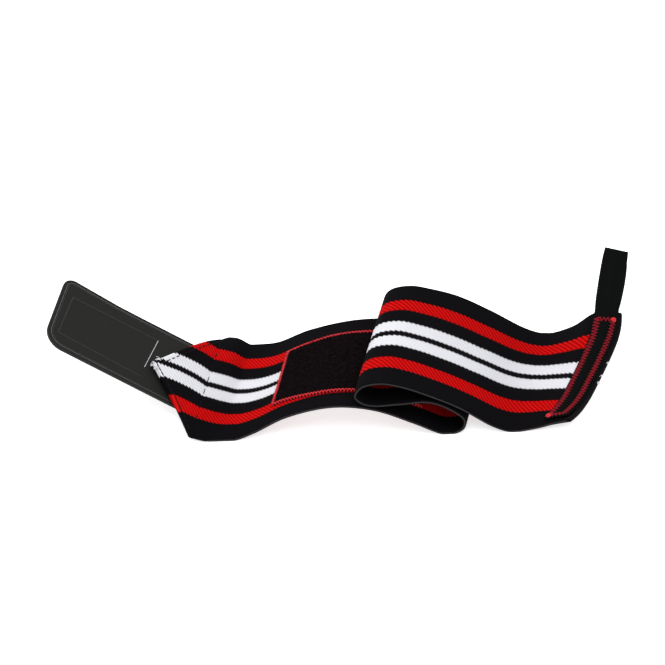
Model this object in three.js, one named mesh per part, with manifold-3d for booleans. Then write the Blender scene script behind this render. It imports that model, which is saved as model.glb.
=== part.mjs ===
// A wrist wrap laid on a table: a striped elastic band folded loosely over itself, with a pile pad sewn on
// its first length, a rubbery hook tab under its pointed end and a thumb loop at its far end.
// Millimetres. X runs along the band from the tab to the thumb loop, Y across it, Z up from the table.
import * as THREE from "three";
import Module from "manifold-3d";
import { mergeVertices } from "three/addons/utils/BufferGeometryUtils.js";

const wasm = await Module();
wasm.setup();

// The woven elastic.
const BAND_WIDTH = 78;
const BAND_THICKNESS = 1.8;

// How it lies: the run from the tab seam to the far end, and the air under the top of the left fold.
const LAID_RUN = 220;
const FOLD_AIR = 35;

// Each step of one millimetre along X carries the band this far across the table.
const DRIFT = 0.185;

// Air left between pieces that are sewn or lie together, and between bent facets that follow each other.
const SEAT_GAP = 0.3;
const BENT_GAP = 0.6;

// The pile pad on the first length.
const PAD_THICKNESS = 1.3;
const PAD_WIDTH = 46.5;

// The hook tab.
const TAB_LENGTH = 88.5;
const TAB_WIDTH = 50;
const TAB_THICKNESS = 1.7;
const TAB_CORNER = 11.5;
const TAB_HEADING = THREE.MathUtils.degToRad(4);
const GROOVE_WIDTH = 0.8;
const GROOVE_DEPTH = 0.35;
const GROOVE_INSET = 2.2;

// The tab stops this far short of the seam, and lies this much lower than the middle of the drooping cloth.
const TAB_SETBACK = 4.5;
const TAB_DROOP = 1.4;

// The narrow elastic of the thumb loop.
const ELASTIC_WIDTH = 13;
const ELASTIC_THICKNESS = 1.5;
const LOOP_LENGTH = 49.5;
const LOOP_OPENING = 6.5;

// The elastic lies this far in from the band's raw end.
const END_MARGIN = 2;

// Stations of the laid band, from the pointed end to the far end.
// along: share of LAID_RUN from the seam. air: share of FOLD_AIR under the cloth.
// layers and pads: thicknesses of cloth and of pad that lie beneath. lean: degrees the crosswise line turns.
// width: share of BAND_WIDTH. tilt: far edge over near edge, as a share of BAND_WIDTH.
// arch: middle over edges, and bow: middle ahead of edges along X, as shares of BAND_WIDTH.
// A station leaves out what is 0 there.
const STATIONS = [
  { name: "point", along: -0.129, air: 0.534, lean: 4, width: 1, tilt: 0.013, arch: 0.08 },
  { name: "midpoint", along: -0.06, air: 0.32, lean: 4, width: 1, tilt: 0.013, arch: 0.08 },
  { name: "stitch", along: -0.02, air: 0.194, lean: 4, width: 1, tilt: 0.013, arch: 0.08 },
  { name: "seam", along: 0.01, air: 0.1, lean: 4, width: 0.99, tilt: 0.013, arch: 0.08 },
  { name: "ease", along: 0.05, air: 0.03, lean: 3, width: 0.97, tilt: 0.03, arch: 0.045 },
  { name: "dip", along: 0.085, air: 0, lean: 2.5, width: 0.95 },
  { name: "leave", along: 0.108, air: 0, lean: 2.5, width: 0.95 },
  { name: "rise", along: 0.155, air: 0.145, lean: 2.5, width: 0.94, tilt: -0.04 },
  { name: "slope", along: 0.236, air: 0.447, lean: 3, width: 0.93, tilt: -0.07 },
  { name: "crest", along: 0.35, air: 0.609, lean: 4, width: 0.93, tilt: -0.06 },
  { name: "fall", along: 0.455, air: 0.525, lean: 4.5, width: 0.95, tilt: -0.013 },
  { name: "low", along: 0.56, air: 0.2, lean: 5, width: 0.97 },
  { name: "land", along: 0.627, air: 0, lean: 5, width: 0.98 },
  { name: "roll", along: 0.655, air: 0, lean: 5, width: 0.98 },
  { name: "turn", along: 0.676, air: 0.09, lean: 5, width: 0.99 },
  { name: "side", along: 0.68, air: 0.27, layers: 0.2, lean: 5, width: 1 },
  { name: "shoulder", along: 0.648, air: 0.46, layers: 0.7, pads: 0.3, lean: 5, width: 1 },
  { name: "hump", along: 0.593, air: 0.6, layers: 1, pads: 1, lean: 5, width: 1 },
  { name: "settle", along: 0.52, air: 0.58, layers: 1, pads: 1, lean: 5, width: 1 },
  { name: "nest", along: 0.46, air: 0.56, layers: 1, pads: 1, lean: 5, width: 1 },
  { name: "curl", along: 0.43, air: 0.61, layers: 1.2, pads: 1, lean: 5, width: 1 },
  { name: "left", along: 0.412, air: 0.75, layers: 1.5, pads: 1, lean: 5, width: 1 },
  { name: "brow", along: 0.428, air: 0.92, layers: 1.9, pads: 1, lean: 5, width: 1 },
  { name: "top", along: 0.474, air: 0.98, layers: 2, pads: 1, lean: 5, width: 1, tilt: 0.006 },
  { name: "glide", along: 0.523, air: 0.9, layers: 2, pads: 1, lean: 5, width: 1, tilt: 0.006 },
  { name: "bridge", along: 0.589, air: 0.715, layers: 2, pads: 1, lean: 5.5, width: 1, tilt: 0.026 },
  { name: "descend", along: 0.672, air: 0.46, layers: 1, pads: 0.5, lean: 6, width: 1, tilt: 0.013 },
  { name: "foot", along: 0.757, air: 0.12, lean: 6.5, width: 1 },
  { name: "rest", along: 0.797, air: 0, lean: 7, width: 1 },
  { name: "resting", along: 0.823, air: 0, lean: 8, width: 1 },
  { name: "lift", along: 0.875, air: 0.124, lean: 10, width: 1, tilt: 0.054, arch: 0.005 },
  { name: "curve", along: 0.92, air: 0.3, lean: 13, width: 1, tilt: 0.119, arch: -0.01, bow: 0.03 },
  { name: "end", along: 0.972, air: 0.363, lean: 16, width: 1.02, tilt: 0.144, arch: -0.04, bow: 0.06 },
];

// The steps the cloth is divided in, along between two stations and across its width.
const STEPS_BETWEEN = 4;
const STEPS_ACROSS = 10;

// The tip of the folded point is this share of the full width.
const TIP_SHARE = 0.06;

const COLUMNS = ["x", "z", "lean", "half", "tilt", "arch", "bow"];
const padRoom = PAD_THICKNESS + BENT_GAP;

function stationValues(station) {
  const { layers = 0, pads = 0, tilt = 0, arch = 0, bow = 0 } = station;
  const pile = layers * BAND_THICKNESS + pads * padRoom;
  return {
    x: station.along * LAID_RUN,
    z: BAND_THICKNESS / 2 + pile + station.air * FOLD_AIR,
    lean: THREE.MathUtils.degToRad(station.lean),
    half: (station.width * BAND_WIDTH) / 2,
    tilt: tilt * BAND_WIDTH,
    arch: arch * BAND_WIDTH,
    bow: bow * BAND_WIDTH,
  };
}

const rows = STATIONS.map(stationValues);
const stationAt = (name) => STATIONS.findIndex((station) => station.name === name);
const SEAM = stationAt("seam");
const LAST = rows.length - 1;

// A value blended between two rows.
function blend(a, b, share) {
  const out = {};
  for (const key of COLUMNS) out[key] = a[key] + (b[key] - a[key]) * share;
  return out;
}

const knotGap = (a, b) => Math.sqrt(Math.hypot(b.x - a.x, b.z - a.z));

// The smooth curve through the stations, a centripetal Catmull-Rom spline; t counts stations.
function centreAt(t) {
  const i = Math.min(LAST - 1, Math.max(0, Math.floor(t)));
  const p1 = rows[i];
  const p2 = rows[i + 1];
  const p0 = i > 0 ? rows[i - 1] : blend(p1, p2, -1);
  const p3 = i < LAST - 1 ? rows[i + 2] : blend(p2, p1, -1);
  const t0 = 0;
  const t1 = t0 + knotGap(p0, p1);
  const t2 = t1 + knotGap(p1, p2);
  const t3 = t2 + knotGap(p2, p3);
  const s = t1 + (t2 - t1) * (t - i);
  const a1 = blend(p0, p1, (s - t0) / (t1 - t0));
  const a2 = blend(p1, p2, (s - t1) / (t2 - t1));
  const a3 = blend(p2, p3, (s - t2) / (t3 - t2));
  const b1 = blend(a1, a2, (s - t0) / (t2 - t0));
  const b2 = blend(a2, a3, (s - t1) / (t3 - t1));
  return blend(b1, b2, (s - t1) / (t2 - t1));
}

// The point on the middle of the cloth, v from -1 at the near edge to 1 at the far edge.
function middleOf(t, v) {
  const c = centreAt(t);
  const nearX = c.x - c.half * Math.sin(c.lean);
  const nearY = DRIFT * nearX;
  const middling = 1 - v ** 4;
  const height = c.z + (v * c.tilt) / 2 + middling * c.arch;
  // What reaches the table lies flat on it.
  return new THREE.Vector3(
    c.x + v * c.half * Math.sin(c.lean) + middling * c.bow,
    nearY + (1 + v) * c.half * Math.cos(c.lean),
    Math.max(height, BAND_THICKNESS / 2),
  );
}

// The cloth's normal there, upward where the first length lies.
const NORMAL_STEP = 0.02;

function normalOf(t, v) {
  const step = NORMAL_STEP;
  const along = middleOf(t + step, v).sub(middleOf(t - step, v));
  const across = middleOf(t, v + step).sub(middleOf(t, v - step));
  return along.cross(across).normalize();
}

// A point at a height over the middle of the cloth.
function clothPoint(t, v, height) {
  return middleOf(t, v).addScaledVector(normalOf(t, v), height);
}

// The share of the full width at t: the point tapers in a straight line to its tip.
function taperAt(t) {
  if (t >= SEAM) return 1;
  const here = centreAt(t).x;
  const share = (here - rows[0].x) / (rows[SEAM].x - rows[0].x);
  return TIP_SHARE + (1 - TIP_SHARE) * share;
}

// A closed slab bent on the cloth: from t to t, to either side of its middle, between two heights.
function slab(fromT, toT, halfShare, floor, ceiling, stepsAlong) {
  const block = new THREE.BoxGeometry(1, 1, 1, stepsAlong, STEPS_ACROSS, 1);
  const place = block.getAttribute("position");
  for (let i = 0; i < place.count; i += 1) {
    const t = fromT + (toT - fromT) * (place.getX(i) + 0.5);
    const v = 2 * place.getY(i) * halfShare(t);
    const height = place.getZ(i) < 0 ? floor(t) : ceiling(t);
    const p = clothPoint(t, v, height);
    place.setXYZ(i, p.x, p.y, p.z);
  }
  block.deleteAttribute("normal");
  block.deleteAttribute("uv");
  return mergeVertices(block, 1e-4);
}

function solid(geometry) {
  const bare = geometry.clone();
  bare.deleteAttribute("normal");
  bare.deleteAttribute("uv");
  const merged = mergeVertices(bare, 1e-4);
  return new wasm.Manifold(
    new wasm.Mesh({
      numProp: 3,
      vertProperties: merged.attributes.position.array,
      triVerts: new Uint32Array(merged.index.array),
    }),
  );
}

function geometryOf(manifold) {
  const mesh = manifold.getMesh();
  const geometry = new THREE.BufferGeometry();
  geometry.setAttribute("position", new THREE.BufferAttribute(mesh.vertProperties, 3));
  geometry.setIndex(new THREE.BufferAttribute(mesh.triVerts, 1));
  geometry.computeVertexNormals();
  return geometry;
}

const wrap = new THREE.Group();
wrap.name = "wrist_wrap";

function addPiece(name, geometry, colour, roughness) {
  const material = new THREE.MeshStandardMaterial({ color: colour, roughness, metalness: 0 });
  const mesh = new THREE.Mesh(geometry, material);
  mesh.name = name;
  wrap.add(mesh);
  return mesh;
}

// The band: one length of woven elastic. Its first corners are turned under, so its point is doubled.
const bandTop = BAND_THICKNESS / 2;
const foldUnder = (t) => (t < SEAM ? -bandTop - BAND_THICKNESS : -bandTop);
const band = slab(0, LAST, taperAt, foldUnder, () => bandTop, LAST * STEPS_BETWEEN);
addPiece("elastic_band", band, 0x16161a, 0.85);

// The pile pad: sewn on the first length, in under the fold, its long edges on the red stripes.
const PAD_FROM = stationAt("rise") + 0.5;
const PAD_TO = stationAt("low");
const padShare = (t) => PAD_WIDTH / 2 / centreAt(t).half;
const padFloor = bandTop + SEAT_GAP;
const pad = slab(
  PAD_FROM,
  PAD_TO,
  padShare,
  () => padFloor,
  () => padFloor + PAD_THICKNESS,
  (PAD_TO - PAD_FROM) * STEPS_BETWEEN,
);
addPiece("loop_pad", pad, 0x0f0b0d, 0.95);

// The hook tab: a rounded plate with a groove inside its border, drawn flat and then laid in its plane.
function tabOutline(inset) {
  const x = TAB_LENGTH - inset;
  const y = TAB_WIDTH / 2 - inset;
  const corner = TAB_CORNER - inset;
  const shape = new THREE.Shape();
  shape.moveTo(inset, -y);
  shape.lineTo(x - corner, -y);
  shape.absarc(x - corner, -y + corner, corner, -Math.PI / 2, 0, false);
  shape.absarc(x - corner, y - corner, corner, 0, Math.PI / 2, false);
  shape.lineTo(inset, y);
  shape.closePath();
  return shape;
}

function tabPlate(inset, low, high) {
  const plate = new THREE.ExtrudeGeometry(tabOutline(inset), {
    depth: high - low,
    bevelEnabled: false,
    curveSegments: 8,
  });
  plate.translate(0, 0, low);
  return plate;
}

const tabTop = TAB_THICKNESS / 2;
const cutAbove = tabTop + GROOVE_DEPTH;
const grooveOuter = solid(tabPlate(GROOVE_INSET, tabTop - GROOVE_DEPTH, cutAbove));
const grooveInner = solid(tabPlate(GROOVE_INSET + GROOVE_WIDTH, -cutAbove, 2 * cutAbove));
const groove = grooveOuter.subtract(grooveInner);
const tabBody = solid(tabPlate(0, -tabTop, tabTop)).subtract(groove);
const tab = addPiece("hook_tab", geometryOf(tabBody), 0x24262a, 0.55);
// It lies against the turned-under corners, in the plane of the point, and heads along its own line.
const tabDrop = bandTop + BAND_THICKNESS + SEAT_GAP + TAB_DROOP + tabTop;
const tabNormal = normalOf(SEAM / 2, 0);
const tabHeading = new THREE.Vector3(-Math.cos(TAB_HEADING), Math.sin(TAB_HEADING), 0);
const tabAlong = tabHeading.projectOnPlane(tabNormal).normalize();
const tabAcross = tabNormal.clone().cross(tabAlong);
tab.setRotationFromMatrix(new THREE.Matrix4().makeBasis(tabAlong, tabAcross, tabNormal));
tab.position.copy(middleOf(SEAM, 0));
tab.position.addScaledVector(tabNormal, -tabDrop).addScaledVector(tabAlong, TAB_SETBACK);

// The narrow elastic, as a path across the band end and out as the thumb loop, doubled back beneath.
// across: share of the band's half width. out: share of LOOP_LENGTH past the far edge.
// side: 1 over the band, -1 under it. gape: share of LOOP_OPENING between the two runs.
// roll: degrees that the crosswise line rises toward the raw end.
const ELASTIC_PATH = [
  { across: -0.93, out: 0, side: 1, gape: 0, roll: 0 },
  { across: -0.6, out: 0, side: 1, gape: 0, roll: 0 },
  { across: -0.2, out: 0, side: 1, gape: 0, roll: 0 },
  { across: 0.2, out: 0, side: 1, gape: 0, roll: 0 },
  { across: 0.6, out: 0, side: 1, gape: 0, roll: 0 },
  { across: 0.8, out: 0, side: 1, gape: 0, roll: 0 },
  { across: 0.96, out: 0, side: 1, gape: 0, roll: 0 },
  { across: 1, out: 0.12, side: 1, gape: 0.15, roll: 12 },
  { across: 1, out: 0.3, side: 1, gape: 0.5, roll: 7 },
  { across: 1, out: 0.5, side: 1, gape: 0.85, roll: 1 },
  { across: 1, out: 0.7, side: 1, gape: 1, roll: -5 },
  { across: 1, out: 0.86, side: 1, gape: 1, roll: -10 },
  { across: 1, out: 0.96, side: 1, gape: 0.75, roll: -12 },
  { across: 1, out: 1, side: 0, gape: 0, roll: -13 },
  { across: 1, out: 0.96, side: -1, gape: 0.75, roll: -12 },
  { across: 1, out: 0.86, side: -1, gape: 1, roll: -10 },
  { across: 1, out: 0.7, side: -1, gape: 1, roll: -5 },
  { across: 1, out: 0.5, side: -1, gape: 0.85, roll: 1 },
  { across: 1, out: 0.3, side: -1, gape: 0.5, roll: 7 },
  { across: 1, out: 0.12, side: -1, gape: 0.15, roll: 12 },
  { across: 0.96, out: 0, side: -1, gape: 0, roll: 0 },
  { across: 0.7, out: 0, side: -1, gape: 0, roll: 0 },
];

const elasticHold = bandTop + BENT_GAP + ELASTIC_THICKNESS / 2;
const LOOP_DIRECTION = new THREE.Vector3(0.05, 1, 0.02).normalize();

// The station count at a distance back from the raw end, at v across the band.
function backFromEnd(distance, v) {
  const end = middleOf(LAST, v);
  let t = LAST;
  while (end.distanceTo(middleOf(t, v)) < distance) t -= 0.01;
  return t;
}

// A point of the elastic's middle surface: row of the path, and w from -1 to 1 across the elastic.
function elasticPoint(row, w) {
  const fromEnd = END_MARGIN + (ELASTIC_WIDTH / 2) * (1 - w);
  const held = row.side * elasticHold;
  if (row.out === 0) return clothPoint(backFromEnd(fromEnd, row.across), row.across, held);
  const root = backFromEnd(END_MARGIN + ELASTIC_WIDTH / 2, 1);
  const edge = clothPoint(root, 1, 0);
  const outward = edge.clone().sub(clothPoint(root, 0.9, 0)).normalize();
  const heading = outward.lerp(LOOP_DIRECTION, Math.min(1, row.out * 2)).normalize();
  const roll = THREE.MathUtils.degToRad(row.roll);
  const crosswise = new THREE.Vector3(Math.cos(roll), 0, Math.sin(roll));
  const p = edge.addScaledVector(heading, row.out * LOOP_LENGTH);
  p.addScaledVector(crosswise, (w * ELASTIC_WIDTH) / 2);
  p.z += held + (row.side * row.gape * LOOP_OPENING) / 2;
  return p;
}

// The elastic as a closed slab bent on that path.
const elasticRows = ELASTIC_PATH.length - 1;
const elasticSteps = 4;
const elastic = new THREE.BoxGeometry(1, 1, 1, elasticSteps, elasticRows, 1);
const elasticPlace = elastic.getAttribute("position");
const elasticMiddle = ELASTIC_PATH.map((row) => {
  const line = [];
  for (let k = 0; k <= elasticSteps; k += 1) line.push(elasticPoint(row, (2 * k) / elasticSteps - 1));
  return line;
});
for (let i = 0; i < elasticPlace.count; i += 1) {
  const k = Math.round((elasticPlace.getX(i) + 0.5) * elasticSteps);
  const r = Math.round((elasticPlace.getY(i) + 0.5) * elasticRows);
  const before = elasticMiddle[Math.max(0, r - 1)][k];
  const after = elasticMiddle[Math.min(elasticRows, r + 1)][k];
  const left = elasticMiddle[r][Math.max(0, k - 1)];
  const right = elasticMiddle[r][Math.min(elasticSteps, k + 1)];
  const run = after.clone().sub(before);
  const normal = right.clone().sub(left).cross(run).normalize();
  const p = elasticMiddle[r][k].clone().addScaledVector(normal, elasticPlace.getZ(i) * ELASTIC_THICKNESS);
  elasticPlace.setXYZ(i, p.x, p.y, p.z);
}
elastic.deleteAttribute("normal");
elastic.deleteAttribute("uv");
addPiece("thumb_elastic", mergeVertices(elastic, 1e-4), 0x121316, 0.8);

// The whole is centred over the point of the table it stands on.
const extent = new THREE.Box3().setFromObject(wrap, true);
const centre = extent.getCenter(new THREE.Vector3());
const toTable = new THREE.Vector3(-centre.x, -centre.y, -extent.min.z);
for (const piece of wrap.children) piece.position.add(toTable);

export default wrap;
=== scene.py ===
import math
import random

import bmesh
import bpy
import numpy as np
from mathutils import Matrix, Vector


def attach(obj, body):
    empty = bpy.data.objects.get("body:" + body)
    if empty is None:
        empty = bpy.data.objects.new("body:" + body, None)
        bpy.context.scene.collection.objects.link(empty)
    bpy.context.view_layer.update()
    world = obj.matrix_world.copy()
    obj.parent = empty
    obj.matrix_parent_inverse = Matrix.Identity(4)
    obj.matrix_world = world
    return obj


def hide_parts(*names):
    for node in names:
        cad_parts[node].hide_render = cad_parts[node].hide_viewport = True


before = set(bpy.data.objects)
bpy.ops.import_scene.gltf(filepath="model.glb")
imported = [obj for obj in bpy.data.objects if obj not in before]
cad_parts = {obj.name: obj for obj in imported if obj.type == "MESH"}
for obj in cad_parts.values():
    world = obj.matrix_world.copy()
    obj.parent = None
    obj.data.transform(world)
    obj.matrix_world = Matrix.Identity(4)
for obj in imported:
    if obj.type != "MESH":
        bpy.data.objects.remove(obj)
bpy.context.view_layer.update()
scene = bpy.context.scene

# The camera: it looks down on the table at 45 degrees through a long lens, a little from the right,
# so that the whole wrap fills the picture with little perspective.
AIM = Vector((-0.006668, 0.013532, 0.0))
CAMERA_DISTANCE = 2.0
CAMERA_AZIMUTH = math.radians(8)
CAMERA_ELEVATION = math.radians(45)
SENSOR_WIDTH = 36
LENS = 192.18
camera = bpy.data.objects.new("camera", bpy.data.cameras.new("camera"))
camera.data.sensor_width = SENSOR_WIDTH
camera.data.lens = LENS
from_aim = Vector((
    math.sin(CAMERA_AZIMUTH) * math.cos(CAMERA_ELEVATION),
    -math.cos(CAMERA_AZIMUTH) * math.cos(CAMERA_ELEVATION),
    math.sin(CAMERA_ELEVATION),
))
camera.location = AIM + from_aim * CAMERA_DISTANCE
camera.rotation_euler = from_aim.to_track_quat("Z", "Y").to_euler()
scene.collection.objects.link(camera)
scene.camera = camera

# The studio: a white table under a white sky, with one large soft light over it and a smaller one
# from the left.
SKY_STRENGTH = 0.7
scene.view_settings.view_transform = "Standard"
world = bpy.data.worlds.new("studio")
world.use_nodes = True
world.node_tree.nodes["Background"].inputs["Color"].default_value = (1, 1, 1, 1)
world.node_tree.nodes["Background"].inputs["Strength"].default_value = SKY_STRENGTH
scene.world = world
STUDIO_LIGHTS = [
    {"name": "over", "at": (0.2, -0.3, 1.5), "size": 1.1, "power": 16},
    {"name": "left", "at": (-0.9, 0.6, 0.7), "size": 0.5, "power": 6},
]
for row in STUDIO_LIGHTS:
    lamp = bpy.data.lights.new(row["name"], "AREA")
    lamp.size = row["size"]
    lamp.energy = row["power"]
    light = bpy.data.objects.new(row["name"], lamp)
    light.location = row["at"]
    light.rotation_euler = (Vector(row["at"]) - AIM).to_track_quat("Z", "Y").to_euler()
    scene.collection.objects.link(light)

# The table: a matt white top that reaches past the picture on every side. It glows a little, and
# more to the camera than on the cloth, which washes out all but its nearest shadows.


def shade(name, colour, roughness, **constants):
    """A material of one shader, with its constants set on the shader's own sockets."""
    material = bpy.data.materials.new(name)
    material.use_nodes = True
    shader = material.node_tree.nodes["Principled BSDF"]
    shader.inputs["Base Color"].default_value = (*colour, 1)
    shader.inputs["Roughness"].default_value = roughness
    for socket, value in constants.items():
        shader.inputs[socket.replace("_", " ")].default_value = value
    return material, material.node_tree, shader


def show(mesh, name, material):
    """Puts a finished mesh in the scene as a piece of the object."""
    mesh.materials.clear()
    mesh.materials.append(material)
    piece = bpy.data.objects.new(name, mesh)
    scene.collection.objects.link(piece)
    return piece


TABLE_HALF = 3
TABLE_GLOW = 0.42
SEEN_GLOW = 0.22
bm = bmesh.new()
bmesh.ops.create_grid(bm, x_segments=1, y_segments=1, size=TABLE_HALF)
floor_mesh = bpy.data.meshes.new("floor")
bm.to_mesh(floor_mesh)
bm.free()
table_white, tree, shader = shade("table_white", (0.93, 0.93, 0.93), 0.9, Specular_IOR_Level=0.0)
shader.inputs["Emission Color"].default_value = (1, 1, 1, 1)
seen = tree.nodes.new("ShaderNodeLightPath")
glow = tree.nodes.new("ShaderNodeMath")
glow.operation = "MULTIPLY_ADD"
glow.inputs[1].default_value = SEEN_GLOW
glow.inputs[2].default_value = TABLE_GLOW
tree.links.new(seen.outputs["Is Camera Ray"], glow.inputs[0])
tree.links.new(glow.outputs[0], shader.inputs["Emission Strength"])
floor = show(floor_mesh, "floor", table_white)

# The elastic band: one length of woven elastic 78 mm wide, black with two white and two red
# stripes. Its first corners are turned under to a point, and the length lies in an S: down, over a
# crest, back over itself and out.
MM = 0.001
BAND_WIDTH = 78 * MM
BAND_THICKNESS = 1.8 * MM
BAND_HALF = BAND_WIDTH / 2
BAND_TOP = BAND_THICKNESS / 2
LAID_RUN = 220 * MM
FOLD_AIR = 35 * MM
# Each step along x carries the band this far across the table.
DRIFT = 0.185
PAD_THICKNESS = 1.3 * MM
SEAT_GAP = 0.3 * MM
BENT_GAP = 0.6 * MM
FRAME_ORIGIN = np.array((-70.668, -81.108, 0)) * MM
# Stations of the laid band, from the pointed end to the raw end. along: share of LAID_RUN from the
# seam. air: share of FOLD_AIR under the cloth. layers and pads: thicknesses of cloth and of pad
# beneath. lean: degrees that the crosswise line turns. width: share of BAND_WIDTH. tilt: far edge
# over near edge, arch: middle over edges, bow: middle ahead of edges, each as a share of
# BAND_WIDTH.
STATION_COLUMNS = ("along", "air", "layers", "pads", "lean", "width", "tilt", "arch", "bow")
STATIONS = {
    "point": (-0.129, 0.534, 0, 0, 4, 1, 0.013, 0.08, 0),
    "midpoint": (-0.06, 0.32, 0, 0, 4, 1, 0.013, 0.08, 0),
    "stitch": (-0.02, 0.194, 0, 0, 4, 1, 0.013, 0.08, 0),
    "seam": (0.01, 0.1, 0, 0, 4, 0.99, 0.013, 0.08, 0),
    "ease": (0.05, 0.045, 0, 0, 3, 0.97, 0.055, 0.045, 0),
    "dip": (0.085, 0, 0, 0, 2.5, 0.95, 0, 0, 0),
    "leave": (0.108, 0, 0, 0, 2.5, 0.95, 0, 0, 0),
    "rise": (0.155, 0.1, 0, 0, 2.5, 0.94, -0.04, 0, 0),
    "slope": (0.236, 0.41, 0, 0, 3, 0.93, -0.06, 0, 0),
    "crest": (0.35, 0.609, 0, 0, 4, 0.93, -0.06, 0, 0),
    "fall": (0.455, 0.53, 0, 0, 4.5, 0.95, -0.045, 0, 0),
    "low": (0.56, 0.21, 0, 0, 5, 0.97, -0.03, 0, 0),
    "land": (0.627, 0, 0, 0, 5, 0.98, 0, 0, 0),
    "roll": (0.655, 0, 0, 0, 5, 0.98, 0, 0, 0),
    "turn": (0.676, 0.09, 0, 0, 5, 0.99, 0, 0, 0),
    "side": (0.68, 0.27, 0.2, 0, 5, 1, 0, 0, 0),
    "shoulder": (0.648, 0.46, 0.7, 0.3, 5, 1, 0, 0, 0),
    "hump": (0.593, 0.6, 1, 1, 5, 1, 0, 0, 0),
    "settle": (0.52, 0.58, 1, 1, 5, 1, 0, 0, 0),
    "nest": (0.46, 0.56, 1, 1, 5, 1, 0, 0, 0),
    "curl": (0.43, 0.61, 1.2, 1, 5, 1, 0, 0, 0),
    "left": (0.412, 0.75, 1.5, 1, 5, 1, 0, 0, 0),
    "brow": (0.428, 0.92, 1.9, 1, 5, 1, -0.01, 0, 0),
    "top": (0.474, 0.98, 2, 1, 5, 1, -0.012, 0, 0),
    "glide": (0.523, 0.9, 2, 1, 5, 1, -0.012, 0, 0),
    "bridge": (0.589, 0.715, 2, 1, 5.5, 1, 0.004, 0, 0),
    "descend": (0.672, 0.46, 1, 0.5, 6, 1, -0.01, 0, 0),
    "foot": (0.757, 0.12, 0, 0, 6.5, 1, 0, 0, 0),
    "rest": (0.797, 0, 0, 0, 7, 1, 0, 0, 0),
    "resting": (0.823, 0, 0, 0, 8, 1, 0, 0, 0),
    "lift": (0.875, 0.124, 0, 0, 10, 1, 0.054, 0.005, 0),
    "curve": (0.92, 0.33, 0, 0, 13, 1, 0.17, -0.01, 0.03),
    "end": (0.972, 0.35, 0, 0, 16, 1.02, 0.135, -0.04, 0.06),
}
station = dict(zip(STATION_COLUMNS, np.array(list(STATIONS.values()), dtype=float).T))
pile_height = station["layers"] * BAND_THICKNESS + station["pads"] * (PAD_THICKNESS + BENT_GAP)
knots = np.column_stack([
    station["along"] * LAID_RUN,
    BAND_THICKNESS / 2 + pile_height + station["air"] * FOLD_AIR,
    np.radians(station["lean"]),
    station["width"] * BAND_HALF,
    station["tilt"] * BAND_WIDTH,
    station["arch"] * BAND_WIDTH,
    station["bow"] * BAND_WIDTH,
])
SAMPLES_BETWEEN = 80
# The line starts this share of a step before the first station, so that the point's rolled edges
# lie on it.
LINE_FROM = -0.3


def spline(points, samples, before=0.0):
    """Samples of the centripetal curve through rows of numbers, and the row count of each.

    The first two numbers of a row, x and z, set the curve's pace.
    """
    ends = np.vstack([2 * points[0] - points[1], points, 2 * points[-1] - points[-2]])
    counts, found = [], []
    for i in range(len(points) - 1):
        p0, p1, p2, p3 = ends[i : i + 4]
        t1 = math.hypot(*(p1 - p0)[:2]) ** 0.5
        t2 = t1 + math.hypot(*(p2 - p1)[:2]) ** 0.5
        t3 = t2 + math.hypot(*(p3 - p2)[:2]) ** 0.5
        share = np.linspace(before if i == 0 else 0, 1, samples, endpoint=i == len(points) - 2)
        s = (t1 + (t2 - t1) * share)[:, None]
        a1 = p0 + (p1 - p0) * s / t1
        a2 = p1 + (p2 - p1) * (s - t1) / (t2 - t1)
        a3 = p2 + (p3 - p2) * (s - t2) / (t3 - t2)
        b1 = a1 + (a2 - a1) * s / t2
        b2 = a2 + (a3 - a2) * (s - t1) / (t3 - t1)
        found.append(b1 + (b2 - b1) * (s - t1) / (t2 - t1))
        counts.append(i + share)
    return np.concatenate(counts), np.vstack(found)


station_count, line = spline(knots, SAMPLES_BETWEEN, before=LINE_FROM)

# The band's sag: how the cloth's middle differs from an even arch, in mm: its height, and how far
# its stripes wander to the far edge.
MIDDLE_COLUMNS = ("raised", "wander")
MIDDLE_ROWS = {
    "point": (0, 2),
    "midpoint": (0, 0.5),
    "stitch": (-0.6, -1.2),
    "seam": (-1.2, -3.2),
    "ease": (-0.8, -2.2),
    "dip": (0, -0.3),
    "leave": (0, -0.4),
    "rise": (0, -1),
    "slope": (-1, -1),
    "fall": (-0.5, 0),
    "curl": (0, 1.5),
    "left": (0.6, 1.9),
    "brow": (0.5, 0.6),
    "top": (0.4, 0.1),
    "bridge": (-0.6, -0.5),
    "descend": (-0.4, -0.4),
    "foot": (1.6, 0.6),
    "rest": (2.2, 1.4),
    "resting": (0.8, 2.2),
    "lift": (-1.6, 0.2),
    "curve": (-3, -3.2),
    "end": (-1, -2.7),
}
middle_at = [list(STATIONS).index(name) for name in MIDDLE_ROWS]
middle_rows = dict(zip(MIDDLE_COLUMNS, np.array(list(MIDDLE_ROWS.values()), dtype=float).T * MM))
raised = np.interp(station_count, middle_at, middle_rows["raised"])
line = np.column_stack([line, raised])


def across_line(columns, v):
    """The cloth's middle for columns of the line, v from -1 at the near edge to 1 at the far edge."""
    x, z, lean, half, tilt, arch, bow, raised = columns
    middling = 1 - v**4
    near_x = x - half * np.sin(lean)
    height = z + v * tilt / 2 + middling * arch + (1 - v**2) * raised
    spots = np.stack([
        x + v * half * np.sin(lean) + middling * bow,
        DRIFT * near_x + (1 + v) * half * np.cos(lean),
        np.maximum(height, BAND_THICKNESS / 2),
    ])
    return spots.T + FRAME_ORIGIN


middle_line = across_line(line.T, np.zeros(len(line)))
steps = np.linalg.norm(np.diff(middle_line, axis=0), axis=1)
distance = np.concatenate([[0], np.cumsum(steps)])
distance -= np.interp(0, station_count, distance)
RAW_END = 0.8 * MM
BAND_LENGTH = float(distance[-1]) - RAW_END


def cloth_at(name, share=0.0):
    """How far along the cloth a station is, and a share of the way on to the next."""
    return float(np.interp(list(STATIONS).index(name) + share, station_count, distance))


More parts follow.
